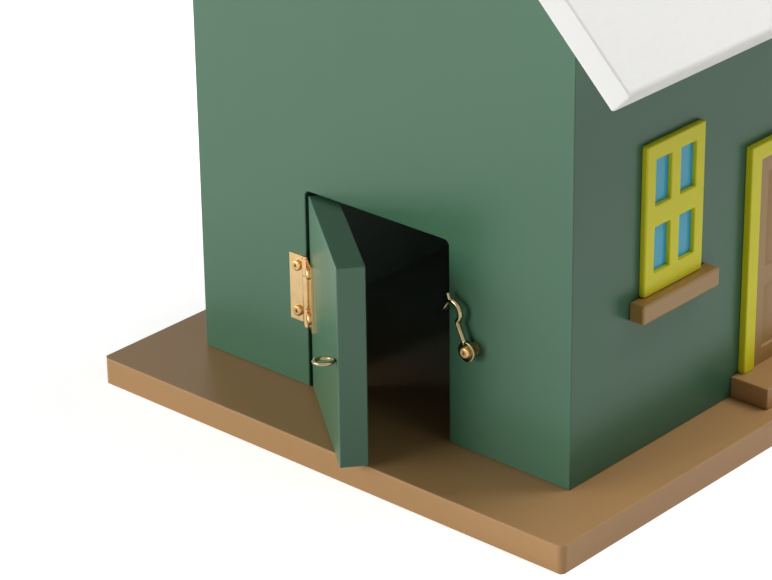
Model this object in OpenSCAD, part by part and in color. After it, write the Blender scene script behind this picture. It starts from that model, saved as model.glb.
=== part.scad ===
// Painted wooden house on a base board, with a small hinged door in one gable
// wall that a brass hook and eye keeps shut.
// Millimetres, +Z up. The origin is the centre of the base board's underside.
// The gable wall with the small door faces -Y, the long front faces +X.

/* [Base] */
// Thickness of the base board
base_t = 10.5; // [6:0.5:20]
// How far the base reaches past the long walls
base_side_margin = 22; // [14:1:40]
// How far the base reaches past the gable walls
base_end_margin = 31; // [20:1:50]

/* [House] */
// Width across the gable walls
house_w = 170; // [150:1:240]
// Length along the long walls
house_d = 240; // [225:1:320]
// Thickness of every wall, door and roof board
board_t = 10; // [8:0.5:14]
// Height of the long walls' outer faces above the base
eave_h = 171.5; // [150:0.5:240]
// Slope of the roof
roof_pitch = 45; // [35:1:50]
// How far the roof's lower edge stands out from the long walls
eave_overhang = 25.5; // [10:0.5:40]
// How far the roof stands out from the gable walls
gable_overhang = 14; // [6:1:30]
// Softening radius on the edges of the walls, base, step and small door
edge_r = 0.5; // [0.3:0.1:1.6]
// Softening radius on the roof boards' gable edges
roof_edge_r = 0.8; // [0.4:0.1:2]
// Softening radius on the roof boards' eave edges
eave_edge_r = 2; // [0.4:0.1:4]
// Rounding of the base's four upright corners
base_corner_r = 2.6; // [0.6:0.1:6]
// Side of the square glue strips in the corners
strip_w = 10; // [6:1:14]
// How far the strip under the ridge reaches down each roof board
ridge_strip_run = 14; // [8:1:20]

/* [Small door] */
// Width of the door opening
opening_w = 65.5; // [60:0.5:80]
// How far the opening's middle lies to the right of the wall's middle
opening_x = -0.5; // [-5:0.5:5]
// Height of the door opening
opening_h = 75.8; // [70:0.1:100]
// Radius of the opening's top corners
opening_r = 2; // [1:0.5:6]
// Gap between the door and the opening's side at the hinge
door_gap = 1.75; // [1.3:0.05:2.5]
// Gap at the door's free edge, which its inner corner needs to swing out
door_edge_gap = 2.5; // [2.2:0.05:3]
// Gap over the door
door_top_gap = 0.9; // [0.8:0.1:3]
// Gap under the door
door_foot_gap = 0.6; // [0.5:0.1:2]
// How far the door stands open
door_open = 38.5; // [10:0.5:100]

/* [Hinge] */
// Height of the butt hinge
hinge_h = 25.4; // [22:0.2:32]
// Height of the hinge's middle above the base
hinge_z = 38.2; // [30:0.2:50]
// Width of each leaf from the pin's axis
leaf_w = 8.3; // [7.5:0.1:12]
// Thickness of the leaves
leaf_t = 0.9; // [0.6:0.1:1.2]
// Radius of the knuckles
knuckle_r = 1.35; // [1.2:0.05:1.6]
// Radius of the hinge pin
pin_r = 0.65; // [0.5:0.05:0.8]
// Height of the low button at each end of the pin
pin_cap_h = 0.8; // [0.3:0.1:1.2]
// Radius of the buttons at the pin's ends
pin_cap_r = 1.1; // [1:0.05:1.2]
// Share of the hinge's height that the middle knuckle takes
middle_share = 0.5; // [0.3:0.05:0.6]
// Distance between the two screws of a leaf
hinge_screw_pitch = 17.5; // [14:0.5:20]
// Distance from the pin's axis to the leaf screws
hinge_screw_x = 4.5; // [4.2:0.1:6]

/* [Screws] */
// Radius of the pan-head screws' heads
head_r = 2.05; // [1.8:0.05:2.4]
// Height of the pan-head screws' heads
head_h = 1.2; // [0.9:0.1:1.6]
// Radius of the pan-head screws' shanks
shank_r = 1; // [0.8:0.05:1.2]
// Length of the pan-head screws' shanks in the wood
shank_l = 7; // [5:0.5:7.5]
// Head radius of the countersunk base screws
base_screw_head_r = 3.2; // [2.6:0.1:4]
// Shank radius of the countersunk base screws
base_screw_r = 1.5; // [1.2:0.1:2]
// Length of the countersunk base screws
base_screw_l = 28; // [24:1:34]
// How deep the countersunk heads lie in the base
base_screw_sink = 0.3; // [0.1:0.1:1]
// Distance from the house's corner to the base screws in the gable walls
end_screw_inset = 30; // [20:1:50]
// Distance from the house's corner to the base screws in the long walls
side_screw_inset = 48; // [30:1:80]

/* [Hook and eye] */
// Height of the hook's pivot above the base
hook_z = 39.6; // [35:0.2:60]
// Distance from the opening's side to the hook's pivot
hook_side = 11; // [9:0.1:11.4]
// Thickness of the hook
hook_t = 1.8; // [1.2:0.1:2]
// Width of the hook's arm
hook_w = 1.9; // [1.4:0.1:2.2]
// Outer radius of the hook's ring
hook_ring_r = 3.6; // [3:0.1:4.2]
// Distance along the arm from the pivot to the prong
prong_u = 16.5; // [16.2:0.1:16.8]
// Distance from the wall to the back of the hook
hook_standoff = 2.3; // [2:0.1:2.6]
// Angle of the parked hook above the closed position
hook_parked = 64.5; // [40:0.5:90]
// Length of the prong, measured from the arm's middle line
prong_v = 5.2; // [4.6:0.1:6]
// Radius of the collar behind the hook
collar_r = 2.6; // [2:0.1:3]
// Radius of the screw eye's ring, to the middle of its wire
eye_ring_r = 3.3; // [3.1:0.05:3.6]
// Radius of the screw eye's wire
eye_wire_r = 0.8; // [0.6:0.05:0.9]
// Distance from the pivot to the eye, measured along the wall
eye_from_pivot = 17.3; // [17:0.1:17.6]
// Length of the screw eye's stem in the door
eye_stem_l = 7; // [5:0.5:7.5]

/* [Windows] */
// Width of the window frames
window_w = 32; // [28:1:44]
// Height of the window frames
window_h = 54.3; // [46:0.1:70]
// Distance from the wall's corner to the nearest frame
window_inset = 35.4; // [30:0.2:45]
// Thickness of the frames
window_t = 2.4; // [1.6:0.1:4]
// Width of the upright frame bars at the sides
stile_w = 5; // [4:0.1:8]
// Height of the frame's top bar
top_rail_h = 5.8; // [4:0.1:9]
// Height of the frame's bottom bar
bottom_rail_h = 7.8; // [5:0.1:10]
// Width of the middle upright bar
mullion_w = 5; // [3:0.1:7]
// Height of the middle level bar
transom_h = 7.8; // [5:0.1:10]
// Thickness of the painted panes
pane_t = 0.8; // [0.5:0.1:1.4]
// Height of the window sills
sill_h = 7; // [5:0.1:10]
// Depth of the window sills
sill_d = 6.2; // [4:0.1:9]
// How far the sills reach past the frames
sill_reach = 5.1; // [2:0.1:8]
// Softening radius on the frames' and sills' edges
trim_r = 0.8; // [0.4:0.1:1]
// Height of the sills' undersides above the base
sill_z = 51.4; // [40:0.2:70]

/* [Front entrance] */
// Width of the entrance door
entrance_w = 40; // [30:1:50]
// Height of the entrance door
entrance_h = 88; // [70:1:110]
// Width of the entrance casing
casing_w = 6; // [4:0.5:9]
// Thickness of the casing
casing_t = 3; // [2:0.1:5]
// Thickness of the applied entrance door
entrance_t = 1.8; // [1:0.1:3]
// Height of the front step
step_h = 8; // [5:0.5:12]
// Depth of the front step
step_d = 16; // [10:0.5:20]
// How far the front step reaches past the casing at each side
step_reach = 4; // [0:0.5:8]
// Radius of the entrance knob
knob_r = 2.4; // [1.6:0.1:3.5]
// Height of the knob above the base
knob_h = 41; // [30:1:60]
// Distance from the entrance door's edge to the knob's middle
knob_inset = 5; // [4:0.5:9]
// Length of the knob's neck
knob_neck = 1.6; // [1:0.1:3]

/* [Hidden] */
$fn = 48;

// Names of all sub-parts

// Clearances: screws in their holes, turning parts, parts that only touch
hole_fit = 0.05;
run_fit = 0.05;
side_fit = 0.15;

half_w = house_w / 2;
half_d = house_d / 2;
wall_y = -half_d;
base_w = house_w + 2 * base_side_margin;
base_d = house_d + 2 * base_end_margin;

// Roof lines: height of the roof's underside at a distance x from the middle
function under_z(x) = base_t + eave_h + (half_w - x) * tan(roof_pitch);
slope_run = half_w + eave_overhang;
slope_len = slope_run / cos(roof_pitch);
roof_len = house_d + 2 * gable_overhang;

// Small door
door_w = opening_w - door_gap - door_edge_gap;
door_h = opening_h - door_top_gap - door_foot_gap;
door_bottom = base_t + door_foot_gap;
pin_x = opening_x - opening_w / 2 + door_gap / 2;
pin_y = wall_y - knuckle_r;
hinge_mid = base_t + hinge_z;
middle_h = hinge_h * middle_share;
end_h = (hinge_h - middle_h) / 2;

// Hook and eye
pivot_x = opening_x + opening_w / 2 + hook_side;
pivot_z = base_t + hook_z;
eye_x = pivot_x - eye_from_pivot;
eye_centre_y = wall_y - eye_ring_r - eye_wire_r - run_fit;
neck_u = 10.6;
hump_end_u = 18.4;
hump_rise = 3;
tab_u = 21.2;
prong_bend_v = 3.2;
half_hump = (hump_end_u - neck_u) / 2;
hump_r = (half_hump * half_hump + hump_rise * hump_rise) / (2 * hump_rise);

// Windows: one pane's size, then each window's place along its wall
pane_w = (window_w - 2 * stile_w - mullion_w) / 2;
pane_h = (window_h - top_rail_h - bottom_rail_h - transom_h) / 2;
panes_up = (bottom_rail_h - top_rail_h) / 2;
window_y = half_d - window_inset - window_w / 2;
frame_z = base_t + sill_z + sill_h;
knob_z = base_t + knob_h;

green = [0.25, 0.42, 0.33];
tan_paint = [0.62, 0.48, 0.33];
white = [0.94, 0.94, 0.92];
lime = [0.72, 0.70, 0.14];
blue = [0.25, 0.55, 0.67];
sill_brown = [0.55, 0.41, 0.30];
brass = [0.86, 0.70, 0.42];

// ---- shapes shared by the sub-parts ----

// Rectangle with round corners, its middle at the origin
module round_rect(w, h, r) {
    square([w - 2 * r, h], center = true);
    square([w, h - 2 * r], center = true);
    for (x = [-1, 1], y = [-1, 1])
        translate([x * (w / 2 - r), y * (h / 2 - r)]) circle(r);
}

// Board with its edges softened by r, its upright corners by corner_r and its edges along Y
// by along_r where those are more, its middle at the origin
module soft_board(size, r, corner_r = 0, along_r = 0) {
    intersection() {
        translate([0, 0, -size[2] / 2])
            linear_extrude(size[2]) round_rect(size[0], size[1], max(r, corner_r));
        translate([0, size[1] / 2, 0]) rotate([90, 0, 0])
            linear_extrude(size[1]) round_rect(size[0], size[2], max(r, along_r));
        translate([-size[0] / 2, 0, 0]) rotate([90, 0, 90])
            linear_extrude(size[0]) round_rect(size[1], size[2], r);
    }
}

// Flat bar between two points, with round ends
module bar(p, q, w) {
    d = q - p;
    translate(p) circle(w / 2);
    translate(q) circle(w / 2);
    translate(p) rotate(atan2(d[1], d[0])) translate([0, -w / 2]) square([norm(d), w]);
}

// Pan-head wood screw along Z, its head's underside at the origin
module pan_screw() {
    difference() {
        union() {
            rotate_extrude() pan_head_profile();
            translate([0, 0, 1 - shank_l]) cylinder(r = shank_r, h = shank_l - 1);
            translate([0, 0, -shank_l]) cylinder(r1 = 0.2, r2 = shank_r, h = 1);
        }
        for (a = [0, 90])
            rotate([0, 0, a]) translate([-head_r * 0.55, -0.3, head_h * 0.45])
                cube([head_r * 1.1, 0.6, head_h]);
    }
}

module pan_head_profile() {
    corner = head_h * 0.55;
    square([head_r, head_h - corner]);
    square([head_r - corner, head_h]);
    intersection() {
        translate([head_r - corner, head_h - corner]) circle(corner);
        square([head_r, head_h]);
    }
}

// Hole for a pan-head screw, opening at the origin and going down
module screw_hole(r, l) {
    translate([0, 0, -l - 0.3]) cylinder(r = r + hole_fit, h = l + 1.3);
}

// Puts a shape that faces +Z onto the door's gable wall, facing out
module on_gable(x, z) {
    translate([x, wall_y, z]) rotate([90, 0, 0]) children();
}

// Puts a shape that faces +Z onto a long wall; side is 1 for +X and -1 for -X
module on_long(side, y, z) {
    mirror([side < 0 ? 1 : 0, 0, 0])
        translate([half_w, y, z]) rotate([90, 0, 90]) children();
}

// Turns what belongs to the small door to where the door stands
module door_pose() {
    translate([pin_x, pin_y, 0]) rotate([0, 0, -door_open])
        translate([-pin_x, -pin_y, 0]) children();
}

// ---- base ----

// Places of the screws that hold the walls to the base
function base_screw_places() = concat(
    [for (x = [-1, 1], y = [-1, 1]) [x * (half_w - end_screw_inset), y * (half_d - board_t / 2)]],
    [for (x = [-1, 1], y = [-1, 1]) [x * (half_w - board_t / 2), y * (half_d - side_screw_inset)]]);

module base_board() {
    color(tan_paint)
    difference() {
        translate([0, 0, base_t / 2]) soft_board([base_w, base_d, base_t], edge_r, base_corner_r);
        for (p = base_screw_places())
            translate([p[0], p[1], 0]) base_screw_cut();
    }
}

// Countersink and hole, from the underside up
module base_screw_cut() {
    translate([0, 0, -1]) cylinder(r = base_screw_head_r + hole_fit, h = base_screw_sink + 1);
    translate([0, 0, base_screw_sink]) cylinder(r1 = base_screw_head_r + hole_fit,
        r2 = base_screw_r + hole_fit, h = base_screw_head_r - base_screw_r);
    cylinder(r = base_screw_r + hole_fit, h = base_t + 1);
}

module base_screws() {
    cone_h = base_screw_head_r - base_screw_r;
    point_h = 2;
    cross = [base_screw_head_r * 1.1, 0.8, 1];
    color("silver")
    for (p = base_screw_places())
        translate([p[0], p[1], base_screw_sink]) difference() {
            union() {
                cylinder(r1 = base_screw_head_r, r2 = base_screw_r, h = cone_h);
                translate([0, 0, cone_h])
                    cylinder(r = base_screw_r, h = base_screw_l - cone_h - point_h);
                translate([0, 0, base_screw_l - point_h])
                    cylinder(r1 = base_screw_r, r2 = 0.3, h = point_h);
            }
            for (a = [0, 90])
                rotate([0, 0, a]) cube([cross[0], cross[1], 2 * cross[2]], center = true);
        }
}

// ---- walls ----

// Outline of a gable wall, x across and y up from the base
module gable_outline() {
    polygon([[-half_w, 0], [half_w, 0], [half_w, eave_h],
        [0, under_z(0) - base_t], [-half_w, eave_h]]);
}

// Gable wall board with soft outer corners; it faces -Y
module gable_board() {
    top = under_z(0) - base_t;
    intersection() {
        translate([0, wall_y + board_t, base_t]) rotate([90, 0, 0])
            linear_extrude(board_t) gable_outline();
        translate([0, wall_y + board_t, base_t]) linear_extrude(top)
            intersection() {
                round_rect(house_w, 2 * board_t, edge_r);
                translate([0, -board_t / 2]) square([house_w + 2, board_t], center = true);
            }
    }
}

// Outline of the door opening, open at its foot
module opening_outline() {
    translate([opening_x, 0]) {
        translate([-opening_w / 2, -2]) square([opening_w, opening_h + 2 - opening_r]);
        translate([-opening_w / 2 + opening_r, -2]) square([opening_w - 2 * opening_r, opening_h + 2]);
        for (x = [-1, 1])
            translate([x * (opening_w / 2 - opening_r), opening_h - opening_r]) circle(opening_r);
    }
}

module door_gable_wall() {
    color(green)
    difference() {
        gable_board();
        translate([0, wall_y + board_t + 1, base_t]) rotate([90, 0, 0])
            linear_extrude(board_t + 2) opening_outline();
        for (z = [-1, 1])
            on_gable(pin_x - hinge_screw_x, hinge_mid + z * hinge_screw_pitch / 2)
                screw_hole(shank_r, shank_l);
        on_gable(pivot_x, pivot_z) screw_hole(shank_r, shank_l);
        wall_screw_holes();
    }
}

module far_gable_wall() {
    color(green)
    difference() {
        mirror([0, 1, 0]) gable_board();
        wall_screw_holes();
    }
}

// Holes for the base screws in whatever wall stands over them
module wall_screw_holes() {
    for (p = base_screw_places())
        translate([p[0], p[1], base_t - 1]) cylinder(r = base_screw_r + hole_fit,
            h = base_screw_l - base_t + 1 + base_screw_sink);
}

// Long wall with its top cut to the roof's slope
module long_wall() {
    difference() {
        translate([0, half_d - board_t, 0]) rotate([90, 0, 0])
            linear_extrude(house_d - 2 * board_t)
                polygon([[half_w - board_t, base_t], [half_w, base_t],
                    [half_w, under_z(half_w)], [half_w - board_t, under_z(half_w - board_t)]]);
        wall_screw_holes();
    }
}

module right_long_wall() {
    color(green) long_wall();
}

module left_long_wall() {
    color(green) mirror([1, 0, 0]) long_wall();
}

// Square glue strips that stand in the four inner corners
module corner_strips() {
    color(tan_paint)
    for (x = [-1, 1], y = [-1, 1])
        translate([x * (half_w - board_t - strip_w / 2), y * (half_d - board_t - strip_w / 2), base_t])
            translate([-strip_w / 2, -strip_w / 2, 0]) cube([strip_w, strip_w, eave_h]);
}

// Three-sided strip under the ridge, glued to both roof boards
module ridge_strip() {
    low = under_z(ridge_strip_run);
    color(tan_paint)
    translate([0, half_d - board_t, 0]) rotate([90, 0, 0]) linear_extrude(house_d - 2 * board_t)
        polygon([[-ridge_strip_run, low], [ridge_strip_run, low], [0, under_z(0)]]);
}

// ---- roof ----

// One roof board: a soft-edged slab, cut upright where the two boards meet
module roof_board() {
    extra = board_t * tan(roof_pitch) + max(roof_edge_r, eave_edge_r) * 2;
    intersection() {
        translate([0, 0, under_z(0)]) rotate([0, roof_pitch, 0])
            translate([(slope_len - extra) / 2, 0, board_t / 2])
                soft_board([slope_len + extra, roof_len, board_t], roof_edge_r, 0, eave_edge_r);
        translate([0, -roof_len, 0]) cube([house_w * 2, roof_len * 2, under_z(0) * 2]);
    }
}

module roof_right() {
    color(white) roof_board();
}

module roof_left() {
    color(white) mirror([1, 0, 0]) roof_board();
}

// ---- small door ----

module door_panel() {
    color(green)
    door_pose() difference() {
        translate([pin_x + door_gap / 2 + door_w / 2, wall_y + board_t / 2, door_bottom + door_h / 2])
            soft_board([door_w, board_t, door_h], edge_r);
        for (z = [-1, 1])
            on_gable(pin_x + hinge_screw_x, hinge_mid + z * hinge_screw_pitch / 2)
                screw_hole(shank_r, shank_l);
        on_gable(eye_x, pivot_z) screw_hole(eye_wire_r, eye_stem_l);
    }
}

// Leaf that lies on the wall's face from the pin towards +X, with two screw holes
module leaf_plate() {
    difference() {
        translate([0, -leaf_t, hinge_mid - hinge_h / 2]) cube([leaf_w, leaf_t, hinge_h]);
        for (z = [-1, 1])
            translate([hinge_screw_x, 0, hinge_mid + z * hinge_screw_pitch / 2]) rotate([90, 0, 0])
                translate([0, 0, -1]) cylinder(r = shank_r + hole_fit, h = leaf_t + 2);
    }
}

// Room around the other leaf's knuckles
module knuckle_room(z, h) {
    translate([0, -knuckle_r, z]) cylinder(r = knuckle_r + side_fit, h = h);
}

module knuckle(z, h) {
    translate([0, -knuckle_r, z]) difference() {
        union() {
            cylinder(r = knuckle_r, h = h);
            translate([0, knuckle_r - leaf_t, 0]) cube([knuckle_r * 1.2, leaf_t, h]);
        }
        translate([0, 0, -1]) cylinder(r = pin_r + run_fit, h = h + 2);
    }
}

// Leaf screwed to the wall; it carries the long middle knuckle
module hinge_wall_leaf() {
    low = hinge_mid - middle_h / 2;
    color(brass)
    translate([pin_x, wall_y, 0]) mirror([1, 0, 0]) {
        difference() {
            leaf_plate();
            knuckle_room(hinge_mid - hinge_h / 2 - 1, end_h + 1);
            knuckle_room(low + middle_h, end_h + 1);
            translate([0, -knuckle_r, low - 1]) cylinder(r = knuckle_r * 0.95, h = middle_h + 2);
        }
        knuckle(low + side_fit / 2, middle_h - side_fit);
    }
}

// Leaf screwed to the door; it carries the two end knuckles
module hinge_door_leaf() {
    bottom = hinge_mid - hinge_h / 2;
    color(brass)
    door_pose() translate([pin_x, wall_y, 0]) {
        difference() {
            leaf_plate();
            knuckle_room(bottom + end_h, middle_h);
            translate([0, -knuckle_r, bottom - 1]) cylinder(r = knuckle_r * 0.95, h = hinge_h + 2);
        }
        knuckle(bottom, end_h - side_fit / 2);
        knuckle(bottom + end_h + middle_h + side_fit / 2, end_h - side_fit / 2);
    }
}

// Pin through all knuckles, with a low button at each end
module hinge_pin() {
    color(brass)
    translate([pin_x, pin_y, hinge_mid - hinge_h / 2]) {
        translate([0, 0, -run_fit]) cylinder(r = pin_r, h = hinge_h + 2 * run_fit);
        translate([0, 0, -pin_cap_h - run_fit]) cylinder(r = pin_cap_r, h = pin_cap_h);
        translate([0, 0, hinge_h + run_fit]) cylinder(r = pin_cap_r, h = pin_cap_h);
    }
}

module hinge_wall_screws() {
    color(brass)
    for (z = [-1, 1])
        on_gable(pin_x - hinge_screw_x, hinge_mid + z * hinge_screw_pitch / 2)
            translate([0, 0, leaf_t]) pan_screw();
}

module hinge_door_screws() {
    color(brass)
    door_pose()
    for (z = [-1, 1])
        on_gable(pin_x + hinge_screw_x, hinge_mid + z * hinge_screw_pitch / 2)
            translate([0, 0, leaf_t]) pan_screw();
}

// ---- hook and eye ----

module screw_eye() {
    color(brass)
    door_pose() {
        translate([eye_x, eye_centre_y, pivot_z])
            rotate_extrude() translate([eye_ring_r, 0]) circle(eye_wire_r);
        on_gable(eye_x, pivot_z) {
            translate([0, 0, 1 - eye_stem_l]) cylinder(r = eye_wire_r, h = eye_stem_l - 0.2);
            translate([0, 0, -eye_stem_l]) cylinder(r1 = 0.2, r2 = eye_wire_r, h = 1);
        }
    }
}

// Hook's outline: x runs along the arm from the pivot, y towards the prong
module hook_outline() {
    centre_v = hump_r - hump_rise;
    difference() {
        union() {
            circle(hook_ring_r);
            bar([hook_ring_r - 1, 0], [neck_u, 0], hook_w);
            intersection() {
                translate([neck_u + half_hump, centre_v]) difference() {
                    circle(hump_r + hook_w / 2);
                    circle(hump_r - hook_w / 2);
                }
                translate([neck_u - hook_w, -hump_rise - hook_w])
                    square([2 * half_hump + 2 * hook_w, hump_rise + hook_w]);
            }
            bar([hump_end_u, -0.2], [tab_u, -0.5], hook_w * 0.85);
            bar([hump_end_u, 0], [prong_u, prong_bend_v], hook_w);
            bar([prong_u, prong_bend_v], [prong_u - 0.6, prong_v], hook_w * 0.85);
        }
        circle(shank_r + run_fit);
    }
}

module latch_hook() {
    color(brass)
    on_gable(pivot_x, pivot_z) translate([0, 0, hook_standoff])
        rotate([0, 0, 180 - hook_parked]) linear_extrude(hook_t) hook_outline();
}

// Collar that holds the hook off the wall
module latch_collar() {
    color(brass)
    on_gable(pivot_x, pivot_z) difference() {
        cylinder(r = collar_r, h = hook_standoff - run_fit);
        translate([0, 0, -1]) cylinder(r = shank_r + run_fit, h = hook_standoff + 2);
    }
}

module latch_screw() {
    color(brass)
    on_gable(pivot_x, pivot_z) translate([0, 0, hook_standoff + hook_t + run_fit])
        rotate([0, 0, 20]) pan_screw();
}

// ---- windows ----

// The four pane openings of a window, each made smaller all round by fit
module pane_rects(fit) {
    for (x = [-1, 1], y = [-1, 1])
        translate([x * (mullion_w + pane_w) / 2, panes_up + y * (transom_h + pane_h) / 2])
            square([pane_w - 2 * fit, pane_h - 2 * fit], center = true);
}

// Side and place along the wall of window i: 1 and 2 on +X, 3 and 4 on -X
function window_side(i) = i < 3 ? 1 : -1;
function window_place(i) = i % 2 == 1 ? -window_y : window_y;

module window_frame(i) {
    color(lime)
    on_long(window_side(i), window_place(i), frame_z + window_h / 2) difference() {
        translate([0, 0, window_t / 2]) soft_frame_plate();
        translate([0, 0, -1]) linear_extrude(window_t + 2) pane_rects(0);
    }
}

// Plate with soft front edges and a flat back
module soft_frame_plate() {
    intersection() {
        translate([0, 0, -window_t / 2]) soft_board([window_w, window_h, 2 * window_t], trim_r);
        cube([window_w + 2, window_h + 2, window_t], center = true);
    }
}

module window_panes(i) {
    color(blue)
    on_long(window_side(i), window_place(i), frame_z + window_h / 2)
        linear_extrude(pane_t) pane_rects(hole_fit);
}

module window_sill(i) {
    color(sill_brown)
    on_long(window_side(i), window_place(i), base_t + sill_z + sill_h / 2)
        translate([0, 0, sill_d / 2])
            soft_board([window_w + 2 * sill_reach, sill_h, sill_d], trim_r);
}

// ---- front entrance ----

module entrance_door() {
    low = base_t + step_h;
    color(sill_brown)
    on_long(1, 0, low) translate([-entrance_w / 2, 0, 0])
        cube([entrance_w, entrance_h - step_h, entrance_t]);
}

module entrance_casing() {
    low = base_t + step_h;
    h = entrance_h - step_h;
    color(lime)
    on_long(1, 0, low) linear_extrude(casing_t) difference() {
        translate([-entrance_w / 2 - casing_w, 0]) square([entrance_w + 2 * casing_w, h + casing_w]);
        translate([-entrance_w / 2 - hole_fit, -1]) square([entrance_w + 2 * hole_fit, h + 1 + hole_fit]);
    }
}

module entrance_knob() {
    color(brass)
    on_long(1, entrance_w / 2 - knob_inset, knob_z) translate([0, 0, entrance_t]) {
        cylinder(r = knob_r / 2, h = knob_neck + knob_r / 2);
        translate([0, 0, knob_neck + knob_r * 0.8]) sphere(knob_r);
    }
}

module entrance_step() {
    w = entrance_w + 2 * (casing_w + step_reach);
    color(tan_paint)
    translate([half_w + step_d / 2, 0, base_t + step_h / 2])
        soft_board([step_d, w, step_h], edge_r);
}

base_board();
base_screws();
door_gable_wall();
far_gable_wall();
right_long_wall();
left_long_wall();
corner_strips();
ridge_strip();
roof_right();
roof_left();
door_panel();
hinge_wall_leaf();
hinge_door_leaf();
hinge_pin();
hinge_wall_screws();
hinge_door_screws();
screw_eye();
latch_hook();
latch_collar();
latch_screw();
window_frame(1);  // window_frame_1
window_frame(2);  // window_frame_2
window_frame(3);  // window_frame_3
window_frame(4);  // window_frame_4
window_panes(1);  // window_panes_1
window_panes(2);  // window_panes_2
window_panes(3);  // window_panes_3
window_panes(4);  // window_panes_4
window_sill(1);  // window_sill_1
window_sill(2);  // window_sill_2
window_sill(3);  // window_sill_3
window_sill(4);  // window_sill_4
entrance_door();
entrance_casing();
entrance_knob();
entrance_step();
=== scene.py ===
import math

import bpy
from mathutils import Matrix, Vector


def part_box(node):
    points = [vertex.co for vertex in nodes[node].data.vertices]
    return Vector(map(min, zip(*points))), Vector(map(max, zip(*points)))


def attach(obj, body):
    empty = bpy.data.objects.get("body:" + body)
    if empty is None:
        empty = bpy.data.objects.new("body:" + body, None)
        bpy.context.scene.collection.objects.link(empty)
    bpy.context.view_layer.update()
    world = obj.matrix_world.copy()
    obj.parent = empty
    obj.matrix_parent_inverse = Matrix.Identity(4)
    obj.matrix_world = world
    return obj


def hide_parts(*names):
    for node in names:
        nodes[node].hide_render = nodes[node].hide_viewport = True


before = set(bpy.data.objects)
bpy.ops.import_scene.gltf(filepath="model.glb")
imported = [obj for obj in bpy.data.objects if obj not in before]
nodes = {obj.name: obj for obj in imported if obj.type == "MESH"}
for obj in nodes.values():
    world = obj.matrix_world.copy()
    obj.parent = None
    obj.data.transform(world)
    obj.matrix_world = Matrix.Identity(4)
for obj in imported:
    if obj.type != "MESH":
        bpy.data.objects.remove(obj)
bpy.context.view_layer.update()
scene = bpy.context.scene
scene.view_settings.view_transform = "Standard"

MM = 0.001

# ---- sizes that the nodes' boxes don't say, in metres ----
BOARD_THICK = 10 * MM
ROOF_PITCH = math.radians(45)
OPENING_MIDDLE = -0.5 * MM
OPENING_WIDTH = 65.5 * MM
OPENING_HEIGHT = 75.8 * MM
OPENING_CORNER = 2 * MM
WALL_EDGE = 0.5 * MM
HOOK_PIVOT = Vector((43.25, -123.2, 50.1)) * MM
HOOK_TURN = math.radians(180 - 64.5)
# The mask of the house's inside reaches this far into its walls and its floor
INSIDE_SLACK = 0.2 * MM

# ---- the small door, from its pin and in its own directions ----
PIN = Vector((-32.375, -121.35, 0)) * MM
DOOR_OPEN = math.radians(38.5)
DOOR_SIDE = 0.875 * MM
DOOR_FACE = 1.35 * MM
DOOR_WIDTH = 61.25 * MM
DOOR_PLACE = Matrix.Translation(PIN) @ Matrix.Rotation(-DOOR_OPEN, 4, "Z")

# ---- paints and metals, as linear colours ----
GREEN = (0.0515, 0.136, 0.076)
TAN = (0.420, 0.236, 0.098)
WHITE = (0.91, 0.902, 0.875)
# Painted shade: the roof boards' ends, which face the front lamp, are painted greyer than the
# slopes
WHITE_ENDS_SHADED = (0.80, 0.793, 0.77)
LIME = (0.72, 0.665, 0.008)
BLUE = (0.046, 0.410, 0.610)
BROWN = (0.340, 0.190, 0.050)
TIMBER = (0.52, 0.36, 0.20)
BRASS = (0.69, 0.475, 0.235)
SCREW_BRASS = (0.6, 0.4, 0.17)
# Painted shade: the hook and eye's brass is darkened, so that it reflects the white surroundings
# dimly beside the lamps' glints
WIRE_BRASS = (0.32, 0.265, 0.14)
ZINC = (0.62, 0.63, 0.64)
# Inside the walls: an undercoat, made pale as painted light that lifts the shaded inside of the
# house
UNDERCOAT_AND_FILL = (0.62, 0.74, 0.69)
# Painted light: the floor inside turns paler deeper in, where little light reaches, so that its
# crease with the walls hardly shows
INNER_FLOOR_FILL = (0.58, 0.62, 0.56)
# Share of white that shows through where paint has worn thin
THIN_PAINT = 0.12


# ================= camera =================

CAMERA_PLACE = Vector((0.6475, -0.8310, 0.5104))
CAMERA_TURN = math.radians(42.15)
CAMERA_DROP = math.radians(25.17)
CAMERA_ROLL = math.radians(-0.82)
CAMERA_LENS = 144.6
CAMERA_RANGE = (0.05, 40)


def add_camera():
    back = Vector((math.sin(CAMERA_TURN) * math.cos(CAMERA_DROP),
                   -math.cos(CAMERA_TURN) * math.cos(CAMERA_DROP), math.sin(CAMERA_DROP)))
    level = (-back).cross(Vector((0, 0, 1))).normalized()
    upright = level.cross(-back)
    right = level * math.cos(CAMERA_ROLL) + upright * math.sin(CAMERA_ROLL)
    up = upright * math.cos(CAMERA_ROLL) - level * math.sin(CAMERA_ROLL)
    bpy.ops.object.camera_add()
    camera = bpy.context.object
    camera.name = "camera"
    camera.data.lens = CAMERA_LENS
    camera.data.clip_start, camera.data.clip_end = CAMERA_RANGE
    turned = Matrix((right, up, back)).transposed().to_4x4()
    camera.matrix_world = Matrix.Translation(CAMERA_PLACE) @ turned
    scene.camera = camera


add_camera()


# ================= material tools =================

def place(tree, kind, inputs=None, **settings):
    """A shader node with its settings, and its inputs set to values or linked to sockets."""
    made = tree.nodes.new("ShaderNode" + kind)
    for name, value in settings.items():
        setattr(made, name, value)
    for name, value in (inputs or {}).items():
        if isinstance(value, bpy.types.NodeSocket):
            tree.links.new(value, made.inputs[name])
        else:
            made.inputs[name].default_value = value
    return made


def maths(tree, operation, *values):
    return place(tree, "Math", dict(enumerate(values)), operation=operation).outputs[0]


def vector_maths(tree, operation, *values):
    return place(tree, "VectorMath", dict(enumerate(values)), operation=operation).outputs[0]


def scaled(tree, color, tone):
    return place(tree, "VectorMath", {0: color, "Scale": tone}, operation="SCALE").outputs[0]


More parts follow.
